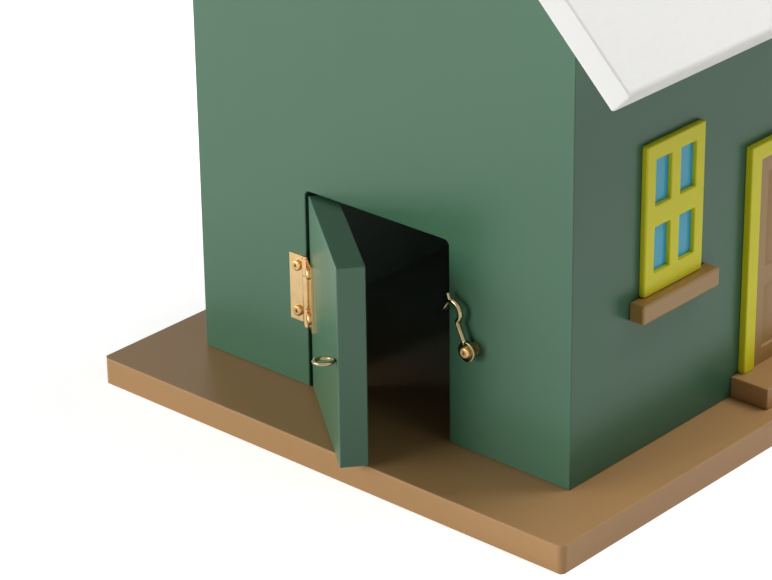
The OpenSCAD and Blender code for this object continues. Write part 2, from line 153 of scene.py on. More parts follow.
def vary(tree, texture, amount, middle):
    """middle, less or more by up to half of amount as the texture runs from 0 to 1."""
    return maths(tree, "MULTIPLY_ADD", maths(tree, "SUBTRACT", texture, 0.5), amount, middle)


def ramp(tree, value, low, high, first, last, **settings):
    """first where the value is low, last where it is high, and a slope between."""
    return place(tree, "MapRange", {"Value": value, "From Min": low, "From Max": high,
                                    "To Min": first, "To Max": last}, **settings).outputs[0]


def new_group(name, inputs, outputs):
    """An empty node group: its tree, its inputs as sockets to read, its outputs to link to."""
    tree = bpy.data.node_groups.new(name, "ShaderNodeTree")
    for label, kind, value in inputs:
        socket = tree.interface.new_socket(name=label, in_out="INPUT",
                                           socket_type="NodeSocket" + kind)
        socket.default_value = value
    for label, kind in outputs:
        tree.interface.new_socket(name=label, in_out="OUTPUT", socket_type="NodeSocket" + kind)
    given = tree.nodes.new("NodeGroupInput").outputs
    return tree, given, tree.nodes.new("NodeGroupOutput").inputs


# What a group that makes a whole surface puts out
SURFACE = [("Color", "Color"), ("Roughness", "Float"), ("Height", "Float")]


def link_surface(tree, made, color, roughness, height):
    tree.links.new(color, made["Color"])
    tree.links.new(roughness, made["Roughness"])
    tree.links.new(height, made["Height"])


def noise(tree, where, scale, detail, stretch=None):
    """Noise from 0 to 1. scale is how many marks fit in a metre, before they are stretched."""
    if stretch:
        where = place(tree, "Mapping", {"Vector": where, "Scale": stretch}).outputs[0]
    made = place(tree, "TexNoise", {"Vector": where, "Scale": scale, "Detail": detail})
    return made.outputs[0]


def make_sprayed_paint():
    """Paint over a board: cloudy tone, faint grain along X, a fine peel and uneven gloss."""
    tree, given, made = new_group(
        "sprayed paint",
        [("Paint", "Color", (1, 1, 1, 1)), ("Board", "Vector", (0, 0, 0)),
         ("Clouding", "Float", 0.08), ("Gloss spread", "Float", 0.08),
         ("Dullness", "Float", 0.3)], SURFACE)
    board = given["Board"]
    clouds = noise(tree, board, scale=13, detail=3)
    specks = noise(tree, board, scale=420, detail=2)
    smears = noise(tree, board, scale=60, detail=3, stretch=(0.25, 1, 1))
    grain = noise(tree, board, scale=260, detail=3, stretch=(0.05, 1, 1))
    peel = noise(tree, board, scale=650, detail=1)
    tone = vary(tree, specks, 0.04, vary(tree, clouds, given["Clouding"], 1.0))
    height = maths(tree, "MULTIPLY_ADD", grain, 0.45, maths(tree, "MULTIPLY", peel, 0.55))
    link_surface(tree, made, scaled(tree, given["Paint"], tone),
                 vary(tree, smears, given["Gloss spread"], given["Dullness"]), height)
    return tree


def make_board_edges():
    """1 along the edges of a board given by its middle and half size, and 0 on its faces."""
    tree, given, made = new_group(
        "board edges",
        [("Board", "Vector", (0, 0, 0)), ("Middle", "Vector", (0, 0, 0)),
         ("Half size", "Vector", (1, 1, 1)), ("Reach", "Float", 2 * MM),
         ("Ragged", "Float", 1 * MM)], [("Mask", "Float")])
    offset = vector_maths(tree, "SUBTRACT", given["Board"], given["Middle"])
    depth = vector_maths(tree, "SUBTRACT", given["Half size"],
                         vector_maths(tree, "ABSOLUTE", offset))
    x, y, z = place(tree, "SeparateXYZ", {0: depth}).outputs
    # Near an edge two of the three depths are small, so the middle one of the three says how near
    least = maths(tree, "MINIMUM", maths(tree, "MINIMUM", x, y), z)
    most = maths(tree, "MAXIMUM", maths(tree, "MAXIMUM", x, y), z)
    total = maths(tree, "ADD", maths(tree, "ADD", x, y), z)
    second = maths(tree, "SUBTRACT", maths(tree, "SUBTRACT", total, least), most)
    second = vary(tree, noise(tree, given["Board"], scale=180, detail=3), given["Ragged"], second)
    mask = ramp(tree, second, 0.0, given["Reach"], 1.0, 0.0, interpolation_type="SMOOTHSTEP")
    tree.links.new(mask, made["Mask"])
    return tree


def make_house_inside():
    """1 inside the four walls and 0 outside, marking where the inside takes its paler colour,
    partly painted light. 1 is reached at Fade behind the small door's wall.
    """
    tree, given, made = new_group(
        "house inside", [("Board", "Vector", (0, 0, 0)), ("Fade", "Float", 0.1 * MM)],
        [("Mask", "Float")])
    low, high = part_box("right_long_wall")
    inner_x, inner_y, floor_z = low.x + INSIDE_SLACK, high.y + INSIDE_SLACK, low.z - INSIDE_SLACK
    x, y, z = place(tree, "SeparateXYZ", {0: given["Board"]}).outputs
    within = maths(tree, "MULTIPLY", maths(tree, "LESS_THAN", maths(tree, "ABSOLUTE", x), inner_x),
                   maths(tree, "LESS_THAN", maths(tree, "ABSOLUTE", y), inner_y))
    within = maths(tree, "MULTIPLY", within, maths(tree, "GREATER_THAN", z, floor_z))
    reached = maths(tree, "ADD", given["Fade"], -inner_y)
    fade = ramp(tree, y, -inner_y, reached, 0.0, 1.0, interpolation_type="SMOOTHSTEP")
    tree.links.new(maths(tree, "MULTIPLY", within, fade), made["Mask"])
    return tree


def make_timber():
    """Bare timber: long grain along X with darker late wood and fine pores."""
    tree, given, made = new_group(
        "timber", [("Wood", "Color", (1, 1, 1, 1)), ("Board", "Vector", (0, 0, 0))], SURFACE)
    bent = noise(tree, given["Board"], scale=9, detail=2, stretch=(0.3, 1, 1))
    rings = place(tree, "TexWave", {"Vector": given["Board"], "Scale": 70, "Distortion": 5,
                                    "Detail": 2, "Detail Scale": 1.2}, bands_direction="Y")
    pores = noise(tree, given["Board"], scale=420, detail=3, stretch=(0.04, 1, 1))
    tone = maths(tree, "MULTIPLY_ADD", rings.outputs[1], -0.22, 1.05)
    tone = vary(tree, pores, 0.25, vary(tree, bent, 0.35, tone))
    link_surface(tree, made, scaled(tree, given["Wood"], tone),
                 maths(tree, "MULTIPLY_ADD", pores, 0.2, 0.5), pores)
    return tree


def make_worn_metal():
    """Polished metal with fine rubbing marks and a little darkening."""
    tree, given, made = new_group(
        "worn metal",
        [("Metal", "Color", (1, 1, 1, 1)), ("Place", "Vector", (0, 0, 0)),
         ("Tarnish", "Float", 0.3), ("Dullness", "Float", 0.2)], SURFACE)
    blots = noise(tree, given["Place"], scale=240, detail=4)
    rubs = noise(tree, given["Place"], scale=1500, detail=3, stretch=(1, 1, 0.12))
    dark = ramp(tree, blots, 0.48, 0.75, 0.0, given["Tarnish"])
    tone = maths(tree, "SUBTRACT", 1.0, dark)
    rough = maths(tree, "MULTIPLY_ADD", dark, 0.3, vary(tree, rubs, 0.12, given["Dullness"]))
    link_surface(tree, made, scaled(tree, given["Metal"], tone), rough, rubs)
    return tree


SPRAYED_PAINT = make_sprayed_paint()
BOARD_EDGES = make_board_edges()
HOUSE_INSIDE = make_house_inside()
BARE_TIMBER = make_timber()
WORN_METAL = make_worn_metal()


def new_material(name):
    made = bpy.data.materials.new(name)
    made.use_nodes = True
    return made, made.node_tree, made.node_tree.nodes["Principled BSDF"]


def board_space(tree, corner=(0, 0, 0), turn=(0, 0, 0)):
    """Object coordinates in a board's own directions, from its corner."""
    where = place(tree, "TexCoord").outputs["Object"]
    return place(tree, "Mapping", {"Vector": where, "Location": corner, "Rotation": turn},
                 vector_type="TEXTURE").outputs[0]


def cover(tree, shader, color, worn, strength, depth):
    """Links a colour, and a surface's roughness and height, to the shader."""
    bump = place(tree, "Bump", {"Height": worn.outputs["Height"], "Strength": strength,
                                "Distance": depth}).outputs[0]
    tree.links.new(color, shader.inputs["Base Color"])
    tree.links.new(worn.outputs["Roughness"], shader.inputs["Roughness"])
    tree.links.new(bump, shader.inputs["Normal"])


def mix_colors(tree, share, first, second):
    """The first colour turning to the second as share goes from 0 to 1."""
    # A Mix node has sockets for other kinds of data too; these are its share and its two colours
    return place(tree, "Mix", {0: share, 6: first, 7: second}, data_type="RGBA").outputs[2]


def with_inside(tree, outside, inside, fade):
    """The outside colour, and the inside colour on the faces that look into the house: a pale
    undercoat, made paler as painted light on the shaded inside.
    """
    where = place(tree, "TexCoord").outputs["Object"]
    inner = place(tree, "Group", {"Board": where, "Fade": fade}, node_tree=HOUSE_INSIDE)
    return mix_colors(tree, inner.outputs["Mask"], outside, (*inside, 1))


def with_shaded_ends(tree, faces, ends):
    """The colour of a board's faces, and a darker colour painted on its ends, which look along Y,
    as painted shade.
    """
    facing = place(tree, "TexCoord").outputs["Normal"]
    along = maths(tree, "ABSOLUTE", place(tree, "SeparateXYZ", {0: facing}).outputs["Y"])
    share = ramp(tree, along, 0.5, 0.9, 0.0, 1.0, interpolation_type="SMOOTHSTEP")
    return mix_colors(tree, share, faces, (*ends, 1))


def painted(name, paint, middle, half, dullness=0.3, corner=(0, 0, 0), turn=(0, 0, 0),
            grain=(0, 0, 0), clouding=0.08, edge=0.05, gloss=1.45, inside=None,
            fade=0.1 * MM, ends=None):
    """Paint on one board, which has its middle and half size in its own directions.

    edge is how thin the paint has worn on the board's edges, gloss is the paint's refractive
    index, and grain turns the faint grain, which runs along X.
    """
    made, tree, shader = new_material(name)
    board = board_space(tree, corner, turn)
    along = place(tree, "Mapping", {"Vector": board, "Rotation": grain}).outputs[0]
    coat = place(tree, "Group", {"Paint": (*paint, 1), "Board": along, "Clouding": clouding,
                                 "Dullness": dullness}, node_tree=SPRAYED_PAINT)
    edges = place(tree, "Group", {"Board": board, "Middle": middle, "Half size": half},
                  node_tree=BOARD_EDGES)
    thin = tuple(c + (1 - c) * THIN_PAINT for c in paint)
    worn = maths(tree, "MULTIPLY", edges.outputs["Mask"], edge)
    finish = mix_colors(tree, worn, coat.outputs["Color"], (*thin, 1))
    # Painted light: the faces inside the house take a paler colour
    if inside:
        finish = with_inside(tree, finish, inside, fade)
    # Painted shade: the board's ends take a darker colour
    if ends:
        finish = with_shaded_ends(tree, finish, ends)
    cover(tree, shader, finish, coat, strength=0.35, depth=0.06 * MM)
    shader.inputs["IOR"].default_value = gloss
    return made


def bare_wood(name, grain):
    made, tree, shader = new_material(name)
    wood = place(tree, "Group", {"Wood": (*TIMBER, 1), "Board": board_space(tree, turn=grain)},
                 node_tree=BARE_TIMBER)
    cover(tree, shader, wood.outputs["Color"], wood, strength=0.5, depth=0.1 * MM)
    return made


def metal(name, color, dullness, tarnish):
    made, tree, shader = new_material(name)
    where = place(tree, "TexCoord").outputs["Object"]
    worn = place(tree, "Group", {"Metal": (*color, 1), "Place": where, "Tarnish": tarnish,
                                 "Dullness": dullness}, node_tree=WORN_METAL)
    cover(tree, shader, worn.outputs["Color"], worn, strength=0.25, depth=0.02 * MM)
    shader.inputs["Metallic"].default_value = 1.0
    return made


def board_of(node):
    """Middle and half size of a node that stands square."""
    low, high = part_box(node)
    return (low + high) / 2, (high - low) / 2


def dress(piece, finish):
    piece.data.materials.clear()
    piece.data.materials.append(finish)


# ================= modelling tools =================

# Heights and distances that differ by less than this count as the same
NEAR = 0.1 * MM
# A face whose normal is longer than this along an axis looks that way
FACING = 0.9
# Edges that turn by more than this are sharp, and faces that turn by less than FLAT become one
SHARP = math.radians(40)
FLAT = math.radians(1)
# Points nearer than this are merged
MERGE = 0.01 * MM


def close(a, b):
    return abs(a - b) < NEAR


def clear_selection():
    bpy.ops.object.select_all(action="DESELECT")


def pick(piece):
    """Selects one piece alone and makes it the active one."""
    clear_selection()
    piece.select_set(True)
    bpy.context.view_layer.objects.active = piece


def apply_place(piece):
    pick(piece)
    bpy.ops.object.transform_apply(location=True, rotation=True, scale=True)


def new_piece(name, data):
    piece = bpy.data.objects.new(name, data)
    scene.collection.objects.link(piece)
    return piece


def block(name, low, high):
    """A cube from its lowest to its highest corner."""
    clear_selection()
    bpy.ops.mesh.primitive_cube_add(size=1, location=(Vector(low) + Vector(high)) / 2)
    piece = bpy.context.object
    piece.name = name
    piece.scale = Vector(high) - Vector(low)
    apply_place(piece)
    return piece


def rod(name, start, end, radius, sides):
    """A cylinder between two points."""
    clear_selection()
    way = Vector(end) - Vector(start)
    bpy.ops.mesh.primitive_cylinder_add(vertices=sides, radius=radius, depth=way.length,
                                        location=(Vector(start) + Vector(end)) / 2,
                                        rotation=way.to_track_quat("Z", "Y").to_euler())
    piece = bpy.context.object
    piece.name = name
    apply_place(piece)
    return piece


def start_picking(piece, kind):
    """Selects nothing of a piece's mesh, ready for its edges or faces to be marked."""
    pick(piece)
    bpy.ops.object.mode_set(mode="EDIT")
    bpy.ops.mesh.select_mode(type=kind)
    bpy.ops.mesh.select_all(action="DESELECT")
    bpy.ops.object.mode_set(mode="OBJECT")


def pick_edges(piece, wanted):
    """Goes into edit mode with the edges selected whose two ends pass the test."""
    start_picking(piece, "EDGE")
    for edge in piece.data.edges:
        edge.select = wanted(*(piece.data.vertices[i].co for i in edge.vertices))
    bpy.ops.object.mode_set(mode="EDIT")


def pick_faces(piece, wanted):
    """Goes into edit mode with the faces selected whose middle and normal pass the test."""
    start_picking(piece, "FACE")
    for face in piece.data.polygons:
        face.select = wanted(face.center, face.normal)
    bpy.ops.object.mode_set(mode="EDIT")


def round_edges(piece, wanted, radius, segments=4):
    pick_edges(piece, wanted)
    bpy.ops.mesh.bevel(offset=radius, segments=segments, affect="EDGES", clamp_overlap=True)
    bpy.ops.object.mode_set(mode="OBJECT")


def score(point, normal):
    """Cuts a line all round the active piece, where a plane meets it."""
    bpy.ops.object.mode_set(mode="EDIT")
    bpy.ops.mesh.select_all(action="SELECT")
    bpy.ops.mesh.bisect(plane_co=point, plane_no=normal)
    bpy.ops.object.mode_set(mode="OBJECT")


def add_modifier(piece, kind, **settings):
    """Adds a modifier, sets it and applies it."""
    pick(piece)
    made = piece.modifiers.new(kind.lower(), kind)
    for name, value in settings.items():
        setattr(made, name, value)
    bpy.ops.object.modifier_apply(modifier=made.name)


def cut(piece, cutter):
    add_modifier(piece, "BOOLEAN", operation="DIFFERENCE", solver="EXACT", object=cutter)
    bpy.data.objects.remove(cutter)


def smooth(piece, angle=35):
    """Smooth shading up to an angle, with flat faces kept flat."""
    pick(piece)
    bpy.ops.object.shade_smooth_by_angle(angle=math.radians(angle))
    add_modifier(piece, "WEIGHTED_NORMAL", keep_sharp=True, weight=100)


def join(name, pieces):
    """Joins the pieces to the first of them and gives it a name."""
    clear_selection()
    for piece in pieces:
        piece.select_set(True)
    bpy.context.view_layer.objects.active = pieces[0]
    if len(pieces) > 1:
        bpy.ops.object.join()
    pieces[0].name = name
    return pieces[0]


def cleaned_copy(node, name):
    """A copy of a node's shape with its flat faces whole."""
    piece = new_piece(name, nodes[node].data.copy())
    pick(piece)
    bpy.ops.mesh.customdata_custom_splitnormals_clear()
    bpy.ops.object.mode_set(mode="EDIT")
    bpy.ops.mesh.select_all(action="SELECT")
    bpy.ops.mesh.remove_doubles(threshold=MERGE)
    bpy.ops.mesh.dissolve_limited(angle_limit=FLAT)
    bpy.ops.object.mode_set(mode="OBJECT")
    return piece


def softened(node, name, radius, segments=3):
    """A copy of a node's shape with its sharp edges rounded."""
    piece = cleaned_copy(node, name)
    add_modifier(piece, "BEVEL", width=radius, segments=segments, limit_method="ANGLE",
                 angle_limit=SHARP, use_clamp_overlap=True)
    smooth(piece)
    return piece


def stand_in(piece, body, finish, replaced):
    """Gives a finished piece its material and its body, and hides the node that it stands for."""
    dress(piece, finish)
    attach(piece, body)
    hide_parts(replaced)


# ================= finishes =================

UPRIGHT = (0, math.radians(90), 0)
SIDEWAYS = (0, 0, math.radians(90))
# The roof's paint is laid out past the ridge, so that the mitre doesn't wear like an edge
PAST_RIDGE = 40 * MM

brass = metal("brass", BRASS, dullness=0.2, tarnish=0.12)
screw_brass = metal("brass, screws", SCREW_BRASS, dullness=0.36, tarnish=0.3)
wire_brass = metal("brass, hook and eye", WIRE_BRASS, dullness=0.08, tarnish=0.2)
zinc = metal("zinc plate", ZINC, dullness=0.34, tarnish=0.4)

house_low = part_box("door_gable_wall")[0]
house_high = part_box("far_gable_wall")[1]
house_middle = (house_low + house_high) / 2
house_half = (house_high - house_low) / 2
# The walls' inside faces take the pale undercoat, partly painted light
green_gables = painted("green paint, gable walls", GREEN, house_middle, house_half,
                       grain=UPRIGHT, inside=UNDERCOAT_AND_FILL)
green_sides = painted("green paint, long walls", GREEN, house_middle, house_half,
                      grain=SIDEWAYS, gloss=1.33, inside=UNDERCOAT_AND_FILL)

door_low, door_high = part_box("door_panel")
door_half = Vector((DOOR_WIDTH, BOARD_THICK, door_high.z - door_low.z)) / 2
door_middle = Vector((DOOR_SIDE, DOOR_FACE, door_low.z)) + door_half
green_door = painted("green paint, small door", GREEN, door_middle, door_half, corner=PIN,
                     turn=(0, 0, -DOOR_OPEN), grain=UPRIGHT)

# The floor inside fades over 80 mm from the tan to a paler colour: painted light
tan_base = painted("tan paint, base", TAN, *board_of("base_board"), dullness=0.36,
                   grain=SIDEWAYS, gloss=1.31, inside=INNER_FLOOR_FILL, fade=80 * MM)
tan_step = painted("tan paint, step", TAN, *board_of("entrance_step"), dullness=0.36,
                   grain=SIDEWAYS, gloss=1.31)


def roof_paint(name, side):
    """White paint on one slope, with painted shade on the board's ends. side is 1 on the right and
    -1 on the left.
    """
    low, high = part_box("roof_right")
    ridge_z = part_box("ridge_strip")[1].z
    reach = (high.x - BOARD_THICK * math.sin(ROOF_PITCH)) / math.cos(ROOF_PITCH)
    half = Vector((reach + PAST_RIDGE, high.y - low.y, BOARD_THICK)) / 2
    return painted(name, WHITE, (side * (half.x - PAST_RIDGE), 0, half.z), half, dullness=0.5,
                   corner=(0, 0, ridge_z), turn=(0, side * ROOF_PITCH, 0), clouding=0.03,
                   grain=SIDEWAYS, gloss=1.3, ends=WHITE_ENDS_SHADED)


for node, finish in (("door_panel", green_door),
                     ("base_board", tan_base),
                     ("entrance_step", tan_step),
                     ("roof_right", roof_paint("white paint, right slope", 1)),
                     ("roof_left", roof_paint("white paint, left slope", -1)),
                     ("corner_strips", bare_wood("bare wood, upright", UPRIGHT)),
                     ("ridge_strip", bare_wood("bare wood, ridge", SIDEWAYS)),
                     ("base_screws", zinc),
                     ("hinge_pin", brass),
                     ("entrance_knob", brass)):
    dress(nodes[node], finish)


# ================= walls =================

# Of a gable wall's rounded corners, the faces that turn this far to the side wear the side's paint
TO_THE_SIDE = 0.7
# How far a cutter reaches past what it cuts
OVERRUN = 10 * MM


def gable_wall(node, outer, opening):
    """A gable board with its outer face at Y = outer, with or without the door's opening."""
    low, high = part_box(node)
    eave_z = high.z - high.x * math.tan(ROOF_PITCH)
    wall = block(node + "_board", low, (high.x, high.y, eave_z))
    score((0, 0, 0), (1, 0, 0))
    pick_edges(wall, lambda a, b: all(close(p.x, 0) and close(p.z, eave_z) for p in (a, b)))
    bpy.ops.transform.translate(value=(0, 0, high.z - eave_z))
    bpy.ops.object.mode_set(mode="OBJECT")

    left = OPENING_MIDDLE - OPENING_WIDTH / 2
    right = OPENING_MIDDLE + OPENING_WIDTH / 2
    top = low.z + OPENING_HEIGHT
    if opening:
        cutter = block("opening", (left, low.y - OVERRUN, low.z - OVERRUN),
                       (right, high.y + OVERRUN, top))
        round_edges(cutter, lambda a, b: close(a.z, top) and close(b.z, top) and close(a.x, b.x),
                    OPENING_CORNER, segments=6)
        cut(wall, cutter)

    def soft(a, b):
        """The outer upright corners, the outer foot edges, and the edges round the opening."""
        front = close(a.y, outer) and close(b.y, outer)
        end = close(a.x, b.x) and close(abs(a.x), high.x)
        foot = close(a.z, low.z) and close(b.z, low.z)
        mouth = (opening and not foot and close(a.y, b.y)
                 and all(left - MM < p.x < right + MM and p.z < top + MM for p in (a, b)))
        return (front and end) or (foot and (front or end)) or mouth

    round_edges(wall, soft, WALL_EDGE)
    smooth(wall)
    stand_in(wall, "house", green_gables, node)
    wall.data.materials.append(green_sides)
    for face in wall.data.polygons:
        beside = abs(face.normal.x) > TO_THE_SIDE and abs(face.center.x) > high.x - MM
        face.material_index = int(beside)


def long_wall(node):
    """A long wall with its outer foot edge softened."""
    low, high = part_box(node)
    outer = max(low.x, high.x, key=abs)
    wall = cleaned_copy(node, node + "_board")
    round_edges(wall, lambda a, b: all(close(p.x, outer) and close(p.z, low.z) for p in (a, b)),
                WALL_EDGE)
    smooth(wall)
    stand_in(wall, "house", green_sides, node)


gable_wall("door_gable_wall", house_low.y, True)
gable_wall("far_gable_wall", house_high.y, False)
long_wall("right_long_wall")
long_wall("left_long_wall")


# ================= hinge =================

LEAF_EDGE = 0.12 * MM

for node, body in (("hinge_wall_leaf", "house"), ("hinge_door_leaf", "door")):
    leaf = softened(node, node + "_soft", LEAF_EDGE, segments=2)
    stand_in(leaf, body, brass, node)


# ================= brass screws =================

SCREW_HEAD = 2.05 * MM
SCREW_HEIGHT = 1.2 * MM
SCREW_CROWN = 0.6 * SCREW_HEIGHT
SCREW_RIM = 0.08 * MM
SCREW_SHANK = 1.0 * MM
SHANK_IN_HEAD = 0.1 * MM
SCREW_LENGTH = 7 * MM
SCREW_TIP = 1 * MM
TIP_TAPER = (0.15, 0.15, 1)
# The cross recess: half the size of its arms, their bottom, their turn and their taper
CROSS_HALF = Vector((1.1, 0.27)) * MM
CROSS_BOTTOM = 0.45 * MM
CROSS_TURN = 20
CROSS_TAPER = (0.45, 0.6, 1)
# The shut hinge's face and middle, its screws' distances from the pin and from that middle,
# and how far they are turned
LEAF_FACE = -120.9 * MM
LEAF_MIDDLE_Z = 48.7 * MM
LEAF_SCREW_X = 4.5 * MM
LEAF_SCREW_Z = 8.75 * MM
LEAF_SCREW_TURN = 0.7
# The latch screw's head stands just off the hook's ring
HOOK_FACE = HOOK_PIVOT.y - 0.95 * MM


def taper(piece, wanted, shares):
    """Shrinks the wanted faces of a piece towards their middle."""
    pick_faces(piece, wanted)
    bpy.ops.transform.resize(value=shares)
    bpy.ops.object.mode_set(mode="OBJECT")


def make_pan_screw():
    """A pan head screw with a cross recess; its head stands on Z = 0 and its shank goes down."""
    head = rod("pan_screw", (0, 0, 0), (0, 0, SCREW_HEIGHT), SCREW_HEAD, sides=48)
    round_edges(head, lambda a, b: close(a.z, SCREW_HEIGHT) and close(b.z, SCREW_HEIGHT),
                SCREW_CROWN, segments=6)
    round_edges(head, lambda a, b: close(a.z, 0) and close(b.z, 0), SCREW_RIM, segments=2)
    for turn in (CROSS_TURN, CROSS_TURN + 90):
        arm = block("arm", (-CROSS_HALF.x, -CROSS_HALF.y, CROSS_BOTTOM),
                    (CROSS_HALF.x, CROSS_HALF.y, SCREW_HEIGHT + 1 * MM))
        taper(arm, lambda centre, normal: normal.z < -FACING, CROSS_TAPER)
        arm.rotation_euler = (0, 0, math.radians(turn))
        apply_place(arm)
        cut(head, arm)
    tip_z = SCREW_TIP - SCREW_LENGTH
    shank = rod("shank", (0, 0, SHANK_IN_HEAD), (0, 0, tip_z), SCREW_SHANK, sides=24)
    tip = rod("tip", (0, 0, tip_z), (0, 0, -SCREW_LENGTH), SCREW_SHANK, sides=24)
    taper(tip, lambda centre, normal: normal.z < -FACING, TIP_TAPER)
    screw = join("pan_screw", [head, shank, tip])
    smooth(screw, angle=40)
    return screw


def set_screws(name, body, replaced, places):
    """Copies of the screw at their places, each a matrix, joined to one piece."""
    copies = [new_piece(name, pan_screw.data.copy()) for _ in places]
    for copied, turn in zip(copies, places):
        copied.data.transform(turn)
    stand_in(join(name, copies), body, screw_brass, replaced)


def hinge_screws(side):
    """The places of two screws on the shut hinge. side is -1 on the wall and 1 on the door."""
    places = []
    for up in (-1, 1):
        spot = (PIN.x + side * LEAF_SCREW_X, LEAF_FACE, LEAF_MIDDLE_Z + up * LEAF_SCREW_Z)
        places.append(Matrix.Translation(spot) @ OUT_OF_GABLE
                      @ Matrix.Rotation(up * LEAF_SCREW_TURN, 4, "Z"))
    return places


OUT_OF_GABLE = Matrix.Rotation(math.radians(90), 4, "X")
OPENED = DOOR_PLACE @ Matrix.Translation(-PIN)
pan_screw = make_pan_screw()
set_screws("hinge_wall_screws_cut", "house", "hinge_wall_screws", hinge_screws(-1))
set_screws("hinge_door_screws_cut", "door", "hinge_door_screws",
           [OPENED @ spot for spot in hinge_screws(1)])
set_screws("latch_screw_cut", "house", "latch_screw",
           [Matrix.Translation((HOOK_PIVOT.x, HOOK_FACE, HOOK_PIVOT.z)) @ OUT_OF_GABLE])
bpy.data.objects.remove(pan_screw)


# ================= hook and eye =================

# Sizes of the hook, in millimetres. Its points go along the arm from the pivot, and across it
RING_RADIUS = 3.6
RING_HALF = 0.9
RING_BORE = 1.05
ARM_START = 2.6
HUMP_START = 10.6
HUMP_END = 18.4
HUMP_RISE = 3.0
HUMP_STEPS = 14
ARM_WIDTH = 1.9
TAB_WIDTH = 1.5
TAB = [(HUMP_END - 0.3, -0.1), (21.0, -0.5)]
PRONG_WIDTH = 1.6
PRONG = [(HUMP_END - 0.2, 0.0), (17.5, 1.6), (16.5, 3.2), (15.9, 5.2)]
HOOK_VOXEL = 0.16 * MM


def hook_point(along, across):
    """A point of the hook: along its arm from the pivot, and across towards its prong."""
    c, s = math.cos(HOOK_TURN), math.sin(HOOK_TURN)
    return HOOK_PIVOT + Vector((along * c - across * s, 0, along * s + across * c)) * MM


def swept_bar(name, points, width):
    """A round bar along points of the hook."""
    line = bpy.data.curves.new(name, "CURVE")
    line.dimensions = "3D"
    spline = line.splines.new("POLY")
    spline.points.add(len(points) - 1)
    for spot, (along, across) in zip(spline.points, points):
        spot.co = (*hook_point(along, across), 1)
    line.bevel_depth = width / 2 * MM
    line.bevel_resolution = 6
    line.use_fill_caps = True
    pick(new_piece(name, line))
    bpy.ops.object.convert(target="MESH")
    return bpy.context.object


def grow_together(piece, voxel, rounds):
    """Makes overlapping bars one skin with soft hollows where they meet."""
    add_modifier(piece, "REMESH", mode="VOXEL", voxel_size=voxel, use_smooth_shade=True)
    add_modifier(piece, "SMOOTH", factor=0.5, iterations=rounds)


def make_hook():
    """A hook bent from wire, with a ring at its screw, a hump, a prong and a tab to lift it by."""
    half = (HUMP_END - HUMP_START) / 2
    bend = (half * half + HUMP_RISE * HUMP_RISE) / (2 * HUMP_RISE)
    spread = math.asin(half / bend)
    arch = []
    for i in range(HUMP_STEPS + 1):
        turn = spread * (1 - 2 * i / HUMP_STEPS)
        arch.append(((HUMP_START + HUMP_END) / 2 - bend * math.sin(turn),
                     bend - HUMP_RISE - bend * math.cos(turn)))
    bars = [swept_bar("arm", [(ARM_START, 0), (HUMP_START, 0)], ARM_WIDTH),
            swept_bar("hump", arch, ARM_WIDTH),
            swept_bar("tab", TAB, TAB_WIDTH),
            swept_bar("prong", PRONG, PRONG_WIDTH)]
    front = Vector((0, -RING_HALF * MM, 0))
    ring = rod("ring", HOOK_PIVOT + front, HOOK_PIVOT - front, RING_RADIUS * MM, sides=48)
    cut(ring, rod("bore", HOOK_PIVOT + front * 3, HOOK_PIVOT - front * 3, RING_BORE * MM,
                  sides=24))
    hook = join("hook", [ring, *bars])
    grow_together(hook, HOOK_VOXEL, rounds=4)
    stand_in(hook, "hook", wire_brass, "latch_hook")


make_hook()

COLLAR_RADIUS = 2.4 * MM
COLLAR_CUTS = 6
# The share of the collar's length that its waist takes, and how thin the waist is
WAIST_SHARE = 0.5
WAIST = (0.62, 1, 0.62)


def make_collar():
    """Turned spacer behind the hook's ring, waisted in the middle."""
    low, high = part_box("latch_collar")
    wall_side = Vector((HOOK_PIVOT.x, high.y, HOOK_PIVOT.z))
    ring_side = Vector((HOOK_PIVOT.x, low.y, HOOK_PIVOT.z))
    middle = (wall_side + ring_side) / 2
    reach = WAIST_SHARE * (high.y - low.y) / 2
    collar = rod("latch_collar_turned", wall_side, ring_side, COLLAR_RADIUS, sides=40)
    pick_faces(collar, lambda centre, normal: abs(normal.y) > FACING)
    bpy.ops.mesh.select_all(action="INVERT")
    bpy.ops.mesh.subdivide(number_cuts=COLLAR_CUTS)
    bpy.ops.object.mode_set(mode="OBJECT")
    pick_edges(collar, lambda a, b: all(abs(p.y - middle.y) < reach for p in (a, b)))
    bpy.ops.transform.resize(value=WAIST, center_override=middle)
    bpy.ops.object.mode_set(mode="OBJECT")
    smooth(collar, angle=50)
    stand_in(collar, "house", screw_brass, "latch_collar")


make_collar()

# The eye's distance from the pin, its ring's middle in front of the door's face, and its stem,
# which reaches out of the face and into the door
EYE_REACH = 58.225 * MM
EYE_STAND = 4.15 * MM
EYE_RING = 3.3 * MM
EYE_WIRE = 0.72 * MM
EYE_TILT = math.radians(8)
STEM_OUT = 1.2 * MM
STEM_IN = 6 * MM
EYE_VOXEL = 0.12 * MM


def make_eye():
    """A screw eye, turned a little about its stem."""
    def eye_point(depth):
        return DOOR_PLACE @ Vector((EYE_REACH, DOOR_FACE + depth, HOOK_PIVOT.z))

    start, root = eye_point(-STEM_OUT), eye_point(STEM_IN)
    tilt = Matrix.Rotation(-EYE_TILT, 3, (root - start).normalized()).to_euler()
    clear_selection()
    bpy.ops.mesh.primitive_torus_add(location=eye_point(-EYE_STAND), rotation=tilt,
                                     major_radius=EYE_RING, minor_radius=EYE_WIRE,
                                     major_segments=64, minor_segments=20)
    ring = bpy.context.object
    apply_place(ring)
    eye = join("screw_eye_soft", [ring, rod("stem", start, root, EYE_WIRE, sides=24)])
    grow_together(eye, EYE_VOXEL, rounds=3)
    stand_in(eye, "door", wire_brass, "screw_eye")


make_eye()


# ================= windows =================

WINDOW_EDGE = 0.45 * MM

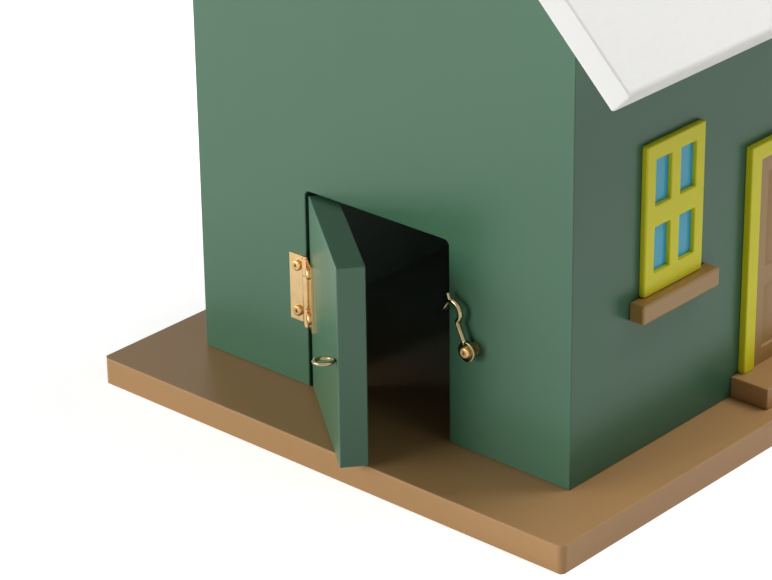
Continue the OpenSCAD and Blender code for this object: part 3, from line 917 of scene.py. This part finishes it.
for i in range(1, 5):
    frame_node, panes, sill = f"window_frame_{i}", f"window_panes_{i}", f"window_sill_{i}"
    lime = painted(f"lime paint, window {i}", LIME, *board_of(frame_node), dullness=0.38,
                   grain=UPRIGHT, gloss=1.34)
    stand_in(softened(frame_node, f"window_{i}_frame", WINDOW_EDGE), "house",
             lime, frame_node)
    dress(nodes[panes], painted(f"blue paint, window {i}", BLUE, *board_of(panes),
                                dullness=0.25, edge=0.0, gloss=1.36))
    dress(nodes[sill], painted(f"brown paint, sill {i}", BROWN, *board_of(sill),
                               dullness=0.38, grain=SIDEWAYS))


# ================= entrance =================

CASING_EDGE = 0.5 * MM
STILE = 5.5 * MM
RAIL = 6 * MM
MIDDLE_STILE = 4 * MM
LOCK_RAIL = 7 * MM
LOCK_RAIL_Z = 34 * MM
# Each panel's steps from its edge inwards: how wide, and how much higher or lower
PANEL_STEPS = ((0.6 * MM, -0.8 * MM), (1.0 * MM, 0), (1.4 * MM, 0.6 * MM))


def entrance_door():
    """The entrance door with its four raised panels."""
    low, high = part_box("entrance_door")
    door = block("entrance_door_panelled", low, high)
    lock_z = low.z + LOCK_RAIL_Z
    uprights = (low.y + STILE, -MIDDLE_STILE / 2, MIDDLE_STILE / 2, high.y - STILE)
    levels = (low.z + RAIL, lock_z - LOCK_RAIL / 2, lock_z + LOCK_RAIL / 2, high.z - RAIL)
    for y in uprights:
        score((0, y, 0), (0, 1, 0))
    for z in levels:
        score((0, 0, z), (0, 0, 1))

    def panel(centre, normal):
        across = uprights[0] < centre.y < uprights[1] or uprights[2] < centre.y < uprights[3]
        up = levels[0] < centre.z < levels[1] or levels[2] < centre.z < levels[3]
        return normal.x > FACING and across and up

    pick_faces(door, panel)
    for width, rise in PANEL_STEPS:
        bpy.ops.mesh.inset(thickness=width, depth=rise, use_individual=True)
    bpy.ops.object.mode_set(mode="OBJECT")
    smooth(door, angle=25)
    brown = painted("brown paint, entrance", BROWN, *board_of("entrance_door"), dullness=0.36,
                    grain=UPRIGHT)
    stand_in(door, "house", brown, "entrance_door")


def entrance_casing():
    lime = painted("lime paint, casing", LIME, *board_of("entrance_casing"), dullness=0.38,
                   grain=UPRIGHT, gloss=1.34)
    casing = softened("entrance_casing", "entrance_casing_soft", CASING_EDGE)
    stand_in(casing, "house", lime, "entrance_casing")


entrance_door()
entrance_casing()


# ================= floor and light =================

FLOOR_SIZE = 16
FLOOR_PALE = (0.9, 0.9, 0.9, 1)
FULL_WHITE = (1, 1, 1, 1)
# The floor glows this much by the house, and from GLOW_FROM to GLOW_TO it turns fully white
FLOOR_GLOW = 0.66
GLOW_FROM, GLOW_TO = 0.6, 2.5
AMBIENT = 0.08
# The lamps stand round a point inside the house, all at one distance from it
LAMP_AIM = Vector((0, 0, 0.12))
LAMP_DISTANCE = 1.8
# Name, degrees round from -Y towards +X, degrees up, width, height and watts
LAMPS = (("front lamp", -33, 9.5, 1.7, 0.7, 29),
         ("rear lamp", 147, 62, 1.0, 1.0, 29),
         ("side lamp", 90, 45, 0.8, 0.8, 2.5))


def light_paths(tree):
    """1 where the camera or a reflection looks, 0 where light only bounces."""
    path = place(tree, "LightPath").outputs
    seen = maths(tree, "MAXIMUM", path["Is Camera Ray"], path["Is Glossy Ray"])
    return maths(tree, "MAXIMUM", seen, path["Is Transmission Ray"])


def add_floor():
    clear_selection()
    bpy.ops.mesh.primitive_plane_add(size=FLOOR_SIZE)
    floor = bpy.context.object
    floor.name = "floor"
    made, tree, shader = new_material("pale floor")
    tree.nodes.remove(shader)
    pale = place(tree, "BsdfDiffuse", {"Color": FLOOR_PALE}).outputs[0]
    away = place(tree, "VectorMath", {0: place(tree, "TexCoord").outputs["Object"]},
                 operation="LENGTH").outputs["Value"]
    lift = ramp(tree, away, GLOW_FROM, GLOW_TO, 0.0, 1 - FLOOR_GLOW)
    seen = maths(tree, "MULTIPLY", lift, place(tree, "LightPath").outputs["Is Camera Ray"])
    strength = maths(tree, "ADD", seen, FLOOR_GLOW)
    glow = place(tree, "Emission", {"Color": FULL_WHITE, "Strength": strength}).outputs[0]
    both = place(tree, "AddShader", {0: pale, 1: glow}).outputs[0]
    mixed = place(tree, "MixShader", {0: light_paths(tree), 1: pale, 2: both}).outputs[0]
    output = next(n for n in tree.nodes if n.type == "OUTPUT_MATERIAL")
    tree.links.new(mixed, output.inputs["Surface"])
    dress(floor, made)


def add_world():
    world = bpy.data.worlds.new("studio")
    scene.world = world
    world.use_nodes = True
    tree = world.node_tree
    tree.nodes.clear()
    lit = place(tree, "Background", {"Color": FULL_WHITE, "Strength": AMBIENT}).outputs[0]
    seen = place(tree, "Background", {"Color": FULL_WHITE, "Strength": 1.0}).outputs[0]
    mixed = place(tree, "MixShader", {0: light_paths(tree), 1: lit, 2: seen}).outputs[0]
    place(tree, "OutputWorld", {"Surface": mixed})


def add_lamp(name, turn, rise, width, height, watts):
    """A flat lamp that faces the house."""
    turn, rise = math.radians(turn), math.radians(rise)
    way = Vector((math.sin(turn) * math.cos(rise), -math.cos(turn) * math.cos(rise),
                  math.sin(rise)))
    bpy.ops.object.light_add(type="AREA", location=LAMP_AIM + way * LAMP_DISTANCE)
    lamp = bpy.context.object
    lamp.name = name
    lamp.data.shape = "RECTANGLE"
    lamp.data.size = width
    lamp.data.size_y = height
    lamp.data.energy = watts
    lamp.rotation_euler = (-way).to_track_quat("-Z", "Y").to_euler()


add_floor()
add_world()
for lamp in LAMPS:
    add_lamp(*lamp)
